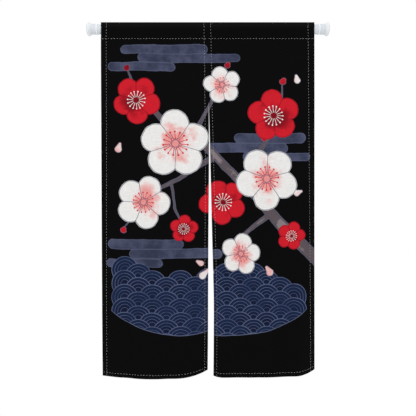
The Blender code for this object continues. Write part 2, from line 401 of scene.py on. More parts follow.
class NorenPrint(PropertyGroup):
    """Colours of the print."""

    ground: colour_prop("Ground", "Black of the cloth", (8, 8, 9.5))
    white: colour_prop("White", "White petals", (238, 237, 235))
    blush: colour_prop("Blush", "Pink at the heart of the white petals", (236, 150, 146))
    red: colour_prop("Red", "Red petals", (208, 30, 44))
    deep_red: colour_prop("Deep red", "Heart and folds of the red petals", (128, 14, 28))
    outline: colour_prop("Outline", "Thin lines round petals and bark", (92, 97, 122))
    bark: colour_prop("Bark", "Branches", (88, 78, 84))
    pale_bark: colour_prop("Pale bark", "Worn side of the branches", (134, 124, 128))
    mist: colour_prop("Mist", "Banks of mist", (52, 57, 79))
    pale_mist: colour_prop("Pale mist", "Washed-out parts of the mist", (78, 83, 108))
    wave: colour_prop("Wave", "Body of the waves", (26, 40, 72))
    deep_wave: colour_prop("Deep wave", "Shaded part of the waves", (18, 27, 52))
    wave_line: colour_prop("Wave line", "Lines in the waves", (98, 106, 136))
    reverse: colour_prop("Reverse", "Back of the cloth, between the shapes of the print", (27, 27, 30))


class NorenThread(PropertyGroup):
    """Sizes and colour of the sewing."""

    pitch: length_prop("Pitch", "From the start of one stitch to the start of the next", 11.8 * MM)
    stitch: length_prop("Stitch", "Length of one stitch", 6.8 * MM)
    radius: length_prop("Radius", "Half of the thread's width", 0.34 * MM)
    white: colour_prop("Thread", "White thread", (208, 208, 206))
    black: colour_prop("Joining thread", "Black thread that joins the panels", (16, 16, 18))


class NorenRod(PropertyGroup):
    """Colours and fineness of the rod and its fittings."""

    cap: colour_prop("Cap", "Moulded caps", (221, 227, 233))
    # The bead's colour is whiter than the cap's: partly a whiter ring, partly a painted highlight along its
    # ridge
    bead: colour_prop("Bead", "Whiter bead with painted highlight round each cap", (247, 250, 254))
    foot: colour_prop("Foot", "Soft feet", (239, 243, 247))
    tube: colour_prop("Tube", "Enamel of the tubes", (238, 242, 246))
    steps: IntProperty(
        name="Steps", description="Steps round each turned piece", min=24, max=256, default=120
    )


class NorenStudio(PropertyGroup):
    """Camera and light."""

    distance: length_prop("Distance", "From the camera to the rod", 1.8)
    sky: amount_prop("Sky", "Strength of the light from all round", 0.80)
    under: amount_prop("Floor light", "Strength of the light from the floor", 0.78)
    key: amount_prop("Key", "Power of the large lamp in front", 15.5, subtype="POWER")
    top: amount_prop("Top", "Power of the lamp over the rod", 3, subtype="POWER")


def read_curve(rows, column, at):
    """A smooth curve through one column of a table, read at places along its first column."""
    table = np.array(rows, float)
    x, y = table[:, 0], table[:, column]
    last = len(x) - 1
    near = np.arange(last + 1)
    low, high = np.maximum(near - 1, 0), np.minimum(near + 1, last)
    slope = (y[high] - y[low]) / (x[high] - x[low])
    at = np.clip(at, x[0], x[-1])
    k = np.clip(np.searchsorted(x, at) - 1, 0, last - 1)
    span = x[k + 1] - x[k]
    t = (at - x[k]) / span
    rise = (y[k + 1] - y[k]) * t * t * (3 - 2 * t)
    return y[k] + rise + span * (t * (1 - t) ** 2 * slope[k] + t * t * (t - 1) * slope[k + 1])


def smooth_step(t):
    t = np.clip(t, 0, 1)
    return t * t * (3 - 2 * t)


def edge(column, drop):
    """A column of the edge table, in metres, at drops in metres."""
    return read_curve(EDGES, EDGE_COLUMNS.index(column), drop / MM) * MM


def panel_sides(side, drop):
    """X of the panel's left and right edges."""
    seam = edge("seam", drop)
    if side == "left":
        return edge("left_edge", drop), seam
    below = [row for row in EDGES if row[0] * MM >= SPLIT_START]
    split = read_curve(below, EDGE_COLUMNS.index("split"), drop / MM) * MM
    return seam - SEAM_OVERLAP + split, edge("right_edge", drop)


def growth(side, across, drop):
    """How far the folds have opened; along the sewn seam they start only below it."""
    from_seam = 1 - across if side == "left" else across
    held = smooth_step(1 - from_seam / SEAM_HOLD)
    start = POCKET_DEPTH + (SPLIT_START - POCKET_DEPTH) * held
    return np.clip((drop - start) / (CLOTH_LENGTH - start), 0, 1)


def cross_section():
    """The cloth seen from the side, as places along it with their y and z: up the front from the hem,
    round the rod to the pressed crease, and down the back to the end of the flap."""
    radius = TUBE_RADIUS + TUBE_CLEARANCE
    seam = CREASE_HEIGHT - POCKET_DEPTH
    peak = CREASE_HEIGHT + CREASE_LOWERED
    turn = np.linspace(math.pi - math.acos(radius / -seam), math.acos(radius / peak), 24)
    front = np.column_stack([-radius * np.sin(turn), radius * np.cos(turn)])
    back = front[::-1] * (-1, 1)
    corners = np.vstack(
        [
            (0, CREASE_HEIGHT - CLOTH_LENGTH),
            (0, seam),
            front,
            (0, peak),
            back,
            (FLAP_BEHIND, seam),
            (FLAP_BEHIND, seam - FLAP_BELOW_SEAM),
        ]
    )
    gone = np.concatenate([[0], np.cumsum(np.linalg.norm(np.diff(corners, axis=0), axis=1))])
    even = np.linspace(0, gone[-1], round(gone[-1] / SECTION_STEP) + 1)
    softness = SECTION_SOFTNESS / SECTION_STEP
    weights = np.exp(-0.5 * (np.arange(-SECTION_REACH, SECTION_REACH + 1) / softness) ** 2)
    weights /= weights.sum()
    soft = [even]
    for k in (0, 1):
        line = np.interp(even, gone, corners[:, k])
        ends = np.pad(line, SECTION_REACH, mode="reflect", reflect_type="odd")
        soft.append(np.convolve(ends, weights, mode="valid"))
    return soft


SECTION = cross_section()
ALONG_END = SECTION[0][-1]
ALONG_SEAM = CLOTH_LENGTH - POCKET_DEPTH
ALONG_CREASE = SECTION[0][np.argmax(SECTION[2])]


def base_point(side, across, along):
    """Middle of the sheet, without its fine relief, at shares of the width and places up the cloth.
    The pocket's ends are drawn in where it goes round the rod."""
    z = np.interp(along, SECTION[0], SECTION[2])
    y = np.interp(along, SECTION[0], SECTION[1])
    drop = CREASE_HEIGHT - z
    left, right = panel_sides(side, drop)
    drawn_in = np.clip(np.abs(y) / (TUBE_RADIUS + TUBE_CLEARANCE), 0, 1) * POCKET_DRAW_IN
    drawn_in = drawn_in * (z > CREASE_HEIGHT - POCKET_DEPTH)
    left, right = (left + drawn_in, right) if side == "left" else (left, right - drawn_in)
    opened = np.where(along < ALONG_CREASE, growth(side, across, drop), 0)
    back = read_curve(HEMS[side], HEM_COLUMNS.index("back"), across) * MM
    lift = read_curve(HEMS[side], HEM_COLUMNS.index("lift"), across) * MM
    return np.stack(
        [left + (right - left) * across, y + back * opened**FOLD_GROWTH, z + lift * opened**LIFT_GROWTH],
        axis=-1,
    )


def printed_side(side, across, along):
    """Direction out of the printed face."""
    step = 0.8 * MM
    share = step / PANEL_WIDTH
    east = base_point(side, np.minimum(across + share, 1), along)
    west = base_point(side, np.maximum(across - share, 0), along)
    north = base_point(side, across, np.minimum(along + step, ALONG_END))
    south = base_point(side, across, np.maximum(along - step, 0))
    out = np.cross(east - west, north - south)
    return out / np.linalg.norm(out, axis=-1, keepdims=True)


def stitch_inset(side, place, along):
    """How far the outer or inner row of stitches lies in from its edge."""
    drop = CREASE_HEIGHT - np.interp(along, SECTION[0], SECTION[2])
    return read_curve(STITCH_ROWS, STITCH_COLUMNS.index(f"{side}_{place}"), drop / MM) * MM


def hem_width(side, place):
    """Width of the hem at the panel's left or right edge."""
    outer = (side == "left") == (place == "left")
    return OUTER_HEM if outer else INNER_HEM


def ripple(along, seed):
    """An uneven ripple between -1 and 1 along a row of stitches."""
    chance = np.random.default_rng(SEED + seed)
    total = np.zeros_like(along)
    for length, share in PUCKER_RIPPLES:
        total += share * np.sin(math.tau * along / (length * MM) + chance.uniform(0, math.tau))
    return total


def relief(side, across, along, cloth):
    """Creases, puckers beside the stitching and the pull of the pocket's seam, out of the sheet."""
    x = across * PANEL_WIDTH
    raised = np.zeros_like(x + along)
    for x0, up0, x1, up1, width, height in np.array(CREASES[side]) * MM:
        run = np.array((x1 - x0, up1 - up0))
        span = run @ run
        t = ((x - x0) * run[0] + (along - up0) * run[1]) / span
        off = ((x - x0) * run[1] - (along - up0) * run[0]) / math.sqrt(span)
        below = np.exp(-((t / CREASE_FADE_BELOW) ** 2))
        fading = np.where(t < 0, below, smooth_step((1 - t) / CREASE_FADE_ABOVE))
        raised += height * np.exp(-((off / width) ** 2)) * fading
    raised *= smooth_step((ALONG_SEAM - along) / CREASES_BELOW_SEAM)
    at_left, at_right = ("outer", "inner") if side == "left" else ("inner", "outer")
    rows = (
        (x - stitch_inset(side, at_left, along), along),
        (PANEL_WIDTH - x - stitch_inset(side, at_right, along), along),
        (along - HEM_STITCH_UP[side], x),
        (along - ALONG_SEAM, x),
    )
    for seed, (off_row, along_row) in enumerate(rows, 1 + 10 * SIDES.index(side)):
        near = np.exp(-((off_row / PUCKER_REACH) ** 2))
        raised += cloth.pucker * near * ripple(along_row, seed)
    return raised


def hem_share(side, across, along):
    """1 where the hems are turned over and 0 on the single cloth between them."""
    x = across * PANEL_WIDTH
    turned = [
        (hem_width(side, "left") - x) / HEM_STEP,
        (hem_width(side, "right") - (PANEL_WIDTH - x)) / HEM_STEP,
        (BOTTOM_HEM - along) / HEM_STEP,
    ]
    return smooth_step(np.maximum.reduce(np.broadcast_arrays(*turned)) + 0.5)


def cloth_faces(side, across, along, cloth):
    """Printed and plain surface points of the sheet, its edges rounded."""
    middle = base_point(side, across, along)
    out = printed_side(side, across, along)
    x = across * PANEL_WIDTH
    to_edge = np.minimum.reduce(np.broadcast_arrays(x, PANEL_WIDTH - x, along, ALONG_END - along))
    edge_share = np.clip(to_edge / EDGE_ROUNDING, 0, 1)
    rounding = np.maximum(np.sqrt(1 - (1 - edge_share) ** 2), EDGE_THINNEST)
    turned = cloth.hem_layers * hem_share(side, across, along)
    half = (cloth.thickness + turned) / 2 * rounding
    centre = relief(side, across, along, cloth) - turned / 2
    face = middle + out * (centre + half)[..., None]
    back = middle + out * (centre - half)[..., None]
    return face, back


def grid_places(length, spacing, folds):
    """Places along a side of the grid: even, and closer together at the edges and at each fold."""
    fine = np.concatenate([EDGE_PLACES, length - EDGE_PLACES, *[fold + FOLD_PLACES for fold in folds]])
    even = np.linspace(0, length, round(length / spacing) + 1)
    clear = np.abs(even[:, None] - fine[None, :]).min(1) > spacing * LEAST_SPACING
    return np.unique(np.concatenate([fine, even[clear]]))


def row_places():
    """Places up the cloth: finer round the pocket."""
    pocket_start = ALONG_SEAM - POCKET_ROWS_BELOW_SEAM
    below = grid_places(pocket_start, ROW_SPACING, [BOTTOM_HEM])
    below = below[below < pocket_start - POCKET_ROW_SPACING]
    pocket = np.arange(pocket_start, ALONG_END - POCKET_ROWS_END_CLEAR, POCKET_ROW_SPACING)
    return np.concatenate([below, pocket, np.sort(ALONG_END - EDGE_PLACES)])


def mesh_object(name, vertices, faces, materials, smooth=True):
    """A mesh object in the scene, from arrays of points and faces."""
    data = bpy.data.meshes.new(name)
    data.from_pydata(np.asarray(vertices).tolist(), [], faces)
    for made in materials:
        data.materials.append(made)
    if smooth:
        data.shade_smooth()
    piece = bpy.data.objects.new(name, data)
    bpy.context.scene.collection.objects.link(piece)
    return piece


def set_map(piece, name, places):
    """Gives a piece a map: a flat place for each corner of its faces."""
    layer = piece.data.uv_layers.new(name=name)
    layer.uv.foreach_set("vector", places.astype(np.float32).ravel())


def quads(rows, columns, first=0, flip=False):
    """Faces of a grid whose points run row by row."""
    j, i = np.meshgrid(np.arange(rows - 1), np.arange(columns - 1), indexing="ij")
    a = (first + j * columns + i).ravel()
    faces = np.column_stack([a, a + 1, a + columns + 1, a + columns])
    return faces[:, ::-1] if flip else faces


def rim_quads(loop, offset):
    """Faces that join a closed loop of points to the same loop further on in the list."""
    nxt = np.roll(loop, -1)
    return np.column_stack([loop, loop + offset, nxt + offset, nxt])


def fold_over(side, x, up, folded):
    """Places of the faces' corners on the flat cloth. A turned hem shows the margin that lay beyond
    the panel's edge, so there the places are turned over at that edge."""
    middle = x.mean(1)
    at_left = folded & (middle < hem_width(side, "left") + HEM_STEP)
    at_right = folded & (middle > PANEL_WIDTH - hem_width(side, "right") - HEM_STEP)
    at_foot = folded & ~at_left & ~at_right
    x = np.where(at_left[:, None], -x, np.where(at_right[:, None], 2 * PANEL_WIDTH - x, x))
    return x, np.where(at_foot[:, None], -up, up)


def make_panel(side, cloth, materials):
    """One hemmed panel: printed face, plain back and rounded edges, as one closed sheet."""
    hem_folds = [hem_width(side, "left"), PANEL_WIDTH - hem_width(side, "right")]
    columns = grid_places(PANEL_WIDTH, COLUMN_SPACING, hem_folds)
    across, along = np.meshgrid(columns / PANEL_WIDTH, row_places())
    face, back = cloth_faces(side, across, along, cloth)
    points = np.vstack([face.reshape(-1, 3), back.reshape(-1, 3)])
    high, wide = across.shape
    count = across.size
    index = np.arange(count).reshape(high, wide)
    loop = np.concatenate([index[0, :-1], index[:-1, -1], index[-1, :0:-1], index[:0:-1, 0]])
    printed = quads(high, wide)
    plain = quads(high, wide, count, flip=True)
    faces = np.vstack([printed, plain, rim_quads(loop, count)])
    panel = mesh_object(f"cloth_panel_{side}", points, faces.tolist(), materials)
    hemmed = hem_share(side, across, along).ravel()[plain[:, 0] - count] > 0.5
    at_back = slice(len(printed), len(printed) + len(plain))
    slots, folded = np.zeros(len(faces), int), np.zeros(len(faces), bool)
    slots[at_back], folded[at_back] = np.where(hemmed, 0, 1), hemmed
    panel.data.polygons.foreach_set("material_index", slots)
    x, up = (across * PANEL_WIDTH).ravel()[faces % count], along.ravel()[faces % count]
    x, up = fold_over(side, x, up, folded)
    from_seam = x - PANEL_WIDTH if side == "left" else x
    set_map(panel, "Flat cloth", np.stack([from_seam, up - ALONG_CREASE], axis=-1))
    return panel


def thread_mesh(name, lines, outward, radius, finish):
    """Short lengths of thread, as one mesh of flattened tubes that taper at their ends. lines holds the
    points of each, and outward the direction away from the cloth there."""
    ring, flattened = 8, 0.8
    count, steps, _ = lines.shape
    ahead = np.gradient(lines, axis=1)
    ahead /= np.linalg.norm(ahead, axis=-1, keepdims=True)
    beside = np.cross(ahead, outward)
    beside /= np.linalg.norm(beside, axis=-1, keepdims=True)
    above = np.cross(beside, ahead)
    taper = np.sqrt(np.clip(1 - np.abs(np.linspace(-1, 1, steps)) ** 6, 0.12, 1))
    turn = np.linspace(0, math.tau, ring, endpoint=False)
    wide = radius * taper[None, :, None, None] * np.cos(turn)[None, None, :, None]
    tall = radius * flattened * taper[None, :, None, None] * np.sin(turn)[None, None, :, None]
    points = lines[:, :, None] + beside[:, :, None] * wide + above[:, :, None] * tall
    first = (np.arange(count) * steps * ring)[:, None, None]
    s, r = np.meshgrid(np.arange(steps - 1), np.arange(ring), indexing="ij")
    a = first + s[None] * ring + r[None]
    b = first + s[None] * ring + (r[None] + 1) % ring
    sides = np.stack([a, b, b + ring, a + ring], axis=-1).reshape(-1, 4).tolist()
    starts = (first[:, 0] + np.arange(ring)[None, ::-1]).tolist()
    ends = (first[:, 0] + (steps - 1) * ring + np.arange(ring)[None]).tolist()
    piece = mesh_object(name, points.reshape(-1, 3), sides + starts + ends, [finish])
    along = np.broadcast_to(np.linspace(0, 1, steps)[None, :, None], (count, steps, ring))
    around = np.broadcast_to(np.arange(ring)[None, None, :] / ring, (count, steps, ring))
    length = np.linalg.norm(lines[:, -1] - lines[:, 0], axis=-1).mean()
    flat = np.column_stack([along.ravel() * length, around.ravel() * math.tau * radius])
    corners = np.zeros(len(piece.data.loops), int)
    piece.data.loops.foreach_get("vertex_index", corners)
    set_map(piece, "Thread", flat[corners])
    return piece


def stitch_row(start, end, thread, chance):
    """Starts and ends of the stitches between two places along a row, a little uneven."""
    count = int((end - start) // thread.pitch)
    begin = start + thread.pitch * (np.arange(count) + 0.2) + chance.normal(0, STITCH_START_SPREAD, count)
    length = thread.stitch * (1 + chance.normal(0, STITCH_LENGTH_SPREAD, count))
    return begin, begin + length


def stitches_along(side, begin, end, place, cloth, thread, behind, chance):
    """Centrelines of stitches, whose ends dip into the cloth. place turns distances along the row into
    shares across and places up."""
    steps = 9
    share = np.linspace(0, 1, steps)
    along_row = begin[:, None] + (end - begin)[:, None] * share[None]
    off = chance.normal(0, STITCH_OFF_SPREAD, (len(begin), 1))
    lean = chance.normal(0, STITCH_LEAN_SPREAD, (len(begin), 1))
    wander = off + lean * (share - 0.5)
    across, along = place(along_row, wander)
    face, back = cloth_faces(side, across, along, cloth)
    out = printed_side(side, across, along) * (-1 if behind else 1)
    surface = back if behind else face
    arch = thread.radius * (0.75 - 1.9 * np.abs(2 * share - 1) ** 5)
    return surface + out * arch[None, :, None], out


def upright_row(side, place_name):
    """Turns distances up a panel's outer or inner row of stitches into places on the cloth."""
    at_left = (side == "left") == (place_name == "outer")

    def place(along, wander):
        inset = stitch_inset(side, place_name, along) + wander
        x = inset if at_left else PANEL_WIDTH - inset
        return x / PANEL_WIDTH, along

    return place


def level_row(height):
    """Turns distances across a panel into places on the cloth at one height."""

    def place(x, wander):
        return x / PANEL_WIDTH, height + wander

    return place


def make_stitching(side, cloth, thread, finish):
    """All the white stitches of a panel: both upright hems, the bottom hem and the pocket's seam."""
    chance = np.random.default_rng(SEED + SIDES.index(side))
    flap_seam = ALONG_END - FLAP_BELOW_SEAM
    hem_row = HEM_STITCH_UP[side]
    runs = []
    for place_name in ("outer", "inner"):
        runs.append((ALONG_END, upright_row(side, place_name), False))
        runs.append((ALONG_SEAM, upright_row(side, place_name), True))
    for height, behind in ((hem_row, False), (hem_row, True), (ALONG_SEAM, False), (flap_seam, False)):
        runs.append((PANEL_WIDTH, level_row(height), behind))
    lines, outs = [], []
    for length, place, behind in runs:
        begin, end = stitch_row(STITCH_END_CLEAR, length - STITCH_END_CLEAR, thread, chance)
        line, out = stitches_along(side, begin, end, place, cloth, thread, behind, chance)
        lines.append(line)
        outs.append(out)
    lines, outs = np.concatenate(lines), np.concatenate(outs)
    return thread_mesh(f"stitching_{side}", lines, outs, thread.radius, finish)


def make_joining_thread(cloth, thread, finish):
    """Black stitches behind the seam that draw the two panels together, and the bar at its end."""
    pitch, reach, lean = 6 * MM, 2.6 * MM, 1.6 * MM
    bar, bar_pitch, bar_reach = 7, 0.6 * MM, 5 * MM
    split_up = CLOTH_LENGTH - SPLIT_START
    joins = np.arange(split_up + pitch, ALONG_SEAM - pitch, pitch)
    ups = np.concatenate([joins, split_up + np.arange(bar) * bar_pitch])
    leans = np.where(np.arange(len(ups)) < len(joins), lean, 0)
    share = np.where(np.arange(len(ups)) < len(joins), reach, bar_reach) / PANEL_WIDTH
    _, left = cloth_faces("left", 1 - share, ups - leans / 2, cloth)
    _, right = cloth_faces("right", share, ups + leans / 2, cloth)
    t = np.linspace(0, 1, 9)
    arch = thread.radius * (1.5 - 2.4 * np.abs(2 * t - 1) ** 4)
    lines = left[:, None] + (right - left)[:, None] * t[None, :, None]
    outward = np.broadcast_to(np.array((0.0, 1.0, 0.0)), lines.shape)
    lines = lines + outward * arch[None, :, None]
    return thread_mesh("joining_thread", lines, outward, thread.radius, finish)


def arc(middle, radius, start, end, steps=8):
    """Points of an arc in (along the rod, out from it), its angles in degrees."""
    turn = np.radians(np.linspace(start, end, steps))
    return [(middle[0] + radius * math.cos(t), middle[1] + radius * math.sin(t)) for t in turn]


def from_end(side, along):
    """X at a distance along the rod from its own end on that side."""
    return ROD_START + along if side == "left" else ROD_END - along


def rings(x, radius, turn):
    """Points round the rod's axis: a ring for each x. The radius may change round a ring."""
    radius = radius * np.ones(len(turn))
    x = np.broadcast_to(x[:, None], radius.shape)
    return np.stack([x, radius * np.cos(turn), radius * np.sin(turn)], axis=-1)


def ring_quads(count, steps, closed=False):
    """Faces between each ring of points and the next, and from the last to the first if closed."""
    s, r = np.meshgrid(np.arange(count if closed else count - 1), np.arange(steps), indexing="ij")
    here, there = s * steps, (s + 1) % count * steps
    nxt = (r + 1) % steps
    return np.stack([here + r, here + nxt, there + nxt, there + r], axis=-1).reshape(-1, 4)


def turned_mesh(name, side, vertices, kinds_of_faces, finishes):
    """A turned piece at one end of the rod; at the right its faces run the other way round."""
    way = 1 if side == "left" else -1
    faces = [face for kind in kinds_of_faces for face in kind[:, ::way].tolist()]
    piece = mesh_object(name, vertices, faces, finishes)
    piece.data.set_sharp_from_angle(angle=SHARP_ANGLE)
    return piece


def turned_piece(name, side, profile, finishes, steps, mould_line=0.0, ringed=(0.0, 0.0)):
    """A piece turned round the rod's axis from a profile that starts and ends on it. A mould line is a
    fine ridge along its two sides, and the second finish goes on the ring between two places."""
    points = np.array(profile)
    x = from_end(side, points[:, 0])
    turn = np.linspace(0, math.tau, steps, endpoint=False)
    off_line = np.abs((turn + math.pi / 2) % math.pi - math.pi / 2)
    ridge = mould_line * np.exp(-((off_line / MOULD_LINE_WIDTH) ** 2))
    radius = points[:, 1:] + np.where(points[:, 1:] > 0, 1, 0) * ridge
    body = rings(x, radius, turn)[1:-1]
    vertices = np.vstack([body.reshape(-1, 3), (x[0], 0, 0), (x[-1], 0, 0)])
    around = np.arange(steps)
    nxt = (around + 1) % steps
    middle, last_ring = len(body) * steps, (len(body) - 1) * steps
    first = np.column_stack([np.full(steps, middle), nxt, around])
    last = np.column_stack([np.full(steps, middle + 1), last_ring + around, last_ring + nxt])
    walls = ring_quads(len(body), steps)
    piece = turned_mesh(name, side, vertices, (walls, first, last), finishes)
    start, end = ringed
    middles = (points[1:-2] + points[2:-1]) / 2
    outside = middles[:, 1] > points[:, 1].max() * 0.8
    on_ring = (middles[:, 0] > start) & (middles[:, 0] < end) & outside
    slots = np.zeros(len(piece.data.polygons), int)
    slots[: len(walls)] = np.repeat(on_ring, steps)
    piece.data.polygons.foreach_set("material_index", slots)
    return piece


def make_tube(name, side, ends, radius, finish, steps):
    """An open tube with rounded lips. ends are measured from the rod's own end on that side."""
    near, far = ends[0] + TUBE_LIP, ends[1] - TUBE_LIP
    outside, inside = radius - TUBE_LIP, radius - TUBE_WALL + TUBE_LIP
    lips = (
        ((near, outside), 180, 90),
        ((far, outside), 90, 0),
        ((far, inside), 0, -90),
        ((near, inside), 270, 180),
    )
    points = np.vstack([arc(middle, TUBE_LIP, start, end, 5) for middle, start, end in lips])
    turn = np.linspace(0, math.tau, steps, endpoint=False)
    body = rings(from_end(side, points[:, 0]), points[:, 1:], turn)
    return turned_mesh(name, side, body.reshape(-1, 3), [ring_quads(len(body), steps, closed=True)], [finish])


class Wiring:
    """Adds nodes to one tree. A value is a number, a tuple or the output of an earlier node."""

    def __init__(self, tree):
        self.tree = tree

    def node(self, kind, values=None, **settings):
        made = self.tree.nodes.new(kind)
        for name, value in settings.items():
            setattr(made, name, value)
        for key, value in (values or {}).items():
            self.put(made.inputs[key], value)
        made.location = (190 * (len(self.tree.nodes) % 12), -190 * (len(self.tree.nodes) // 12))
        return made

    def put(self, socket, value):
        if isinstance(value, bpy.types.NodeSocket):
            self.tree.links.new(value, socket)
        else:
            socket.default_value = value

    def math(self, operation, *values):
        made = self.node("ShaderNodeMath", operation=operation)
        for k, value in enumerate(values):
            self.put(made.inputs[k], value)
        return made.outputs[0]

    def vector(self, operation, *values, scale=None):
        made = self.node("ShaderNodeVectorMath", operation=operation)
        for k, value in enumerate(values):
            self.put(made.inputs[k], value)
        if scale is not None:
            self.put(made.inputs["Scale"], scale)
        scalar = operation in ("LENGTH", "DISTANCE", "DOT_PRODUCT")
        return made.outputs["Value" if scalar else "Vector"]

    def share(self, value):
        """A value kept between nought and one."""
        return self.math("MINIMUM", self.math("MAXIMUM", value, 0.0), 1.0)

    def split(self, vector):
        """X and Y of a vector. Separate XYZ and clamped nodes are worked out late, and a material with
        many of them needs more room than Cycles has."""
        return self.vector("DOT_PRODUCT", vector, (1, 0, 0)), self.vector("DOT_PRODUCT", vector, (0, 1, 0))

    def join(self, x, y):
        return self.node("ShaderNodeCombineXYZ", {"X": x, "Y": y}).outputs["Vector"]

    def fade(self, value, start, end, low=1.0, high=0.0):
        """low before start, high after end, and a smooth change between them."""
        made = self.node(
            "ShaderNodeMapRange",
            {"Value": value, "From Min": start, "From Max": end, "To Min": low, "To Max": high},
            interpolation_type="SMOOTHSTEP",
            clamp=False,
        )
        return made.outputs["Result"]

    def blend(self, share, under, over):
        made = self.node("ShaderNodeMix", data_type="RGBA")
        self.put(made.inputs[0], share)
        self.put(made.inputs[6], under)
        self.put(made.inputs[7], over)
        return made.outputs[2]

    def pick(self, share, under, over):
        """One of two vectors, or a mix of them."""
        made = self.node("ShaderNodeMix", data_type="VECTOR")
        self.put(made.inputs[0], share)
        self.put(made.inputs[4], under)
        self.put(made.inputs[5], over)
        return made.outputs[1]

    def noise(self, vector, scale, detail=2.0, roughness=0.5, flat=True):
        made = self.node(
            "ShaderNodeTexNoise",
            {"Vector": vector, "Scale": scale, "Detail": detail, "Roughness": roughness},
            noise_dimensions="2D" if flat else "3D",
        )
        return made

    def use(self, group, values):
        return self.node("ShaderNodeGroup", values, node_tree=group).outputs


SOCKETS = {"colour": "NodeSocketColor", "vector": "NodeSocketVector", "number": "NodeSocketFloat"}


def new_group(name, takes, gives):
    """An empty shader node group with named inputs and outputs, its wiring, and its two end nodes."""
    group = bpy.data.node_groups.new(name, "ShaderNodeTree")
    for label, kind in takes:
        group.interface.new_socket(label, in_out="INPUT", socket_type=SOCKETS[kind])
    for label, kind in gives:
        group.interface.new_socket(label, in_out="OUTPUT", socket_type=SOCKETS[kind])
    wires = Wiring(group)
    given = wires.node("NodeGroupInput").outputs
    result = wires.node("NodeGroupOutput").inputs
    return group, wires, given, result


def group_once(name, build):
    """The node group of that name, built the first time that it is asked for."""
    return bpy.data.node_groups.get(name) or build(name)


def build_weave(name):
    """Plain weave with slubs: the height of the threads, and how thick each stretch of thread is."""
    group, w, given, result = new_group(
        name, [("Place", "vector"), ("Thread pitch", "number")], [("Height", "number"), ("Slub", "number")]
    )
    place = w.vector("SCALE", given["Place"], scale=w.math("DIVIDE", 1.0, given["Thread pitch"]))
    x, y = w.split(place)
    threads = []
    for over, under, start in ((x, y, 0.0), (y, x, 1.0)):
        bulge = w.math("ABSOLUTE", w.math("SINE", w.math("MULTIPLY", over, math.pi)))
        turn = w.math("ADD", under, w.math("ADD", w.math("FLOOR", over), start))
        swing = w.math("COSINE", w.math("MULTIPLY", turn, math.pi))
        threads.append(w.math("MULTIPLY", bulge, w.math("MULTIPLY_ADD", swing, 0.5, 0.5)))
    w.put(result["Height"], w.math("MAXIMUM", *threads))
    warp = w.noise(w.vector("MULTIPLY", place, (0.9, 0.016, 1.0)), 1.0, detail=1.0).outputs[0]
    weft = w.noise(w.vector("MULTIPLY", place, (0.016, 0.9, 1.0)), 1.0, detail=1.0).outputs[0]
    w.put(result["Slub"], w.math("MULTIPLY", w.math("ADD", warp, weft), 0.5))
    return group


def build_stroke(name):
    """Distance from a stroke whose radius changes from one end to the other; below nought inside."""
    takes = [("Place", "vector"), ("From", "vector"), ("To", "vector")]
    takes += [("Start radius", "number"), ("End radius", "number")]
    group, w, given, result = new_group(name, takes, [("Distance", "number")])
    out = w.vector("SUBTRACT", given["Place"], given["From"])
    run = w.vector("SUBTRACT", given["To"], given["From"])
    share = w.share(w.math("DIVIDE", w.vector("DOT_PRODUCT", out, run), w.vector("DOT_PRODUCT", run, run)))
    nearest = w.vector("SCALE", run, scale=share)
    change = w.math("SUBTRACT", given["End radius"], given["Start radius"])
    radius = w.math("MULTIPLY_ADD", change, share, given["Start radius"])
    w.put(result["Distance"], w.math("SUBTRACT", w.vector("DISTANCE", out, nearest), radius))
    return group


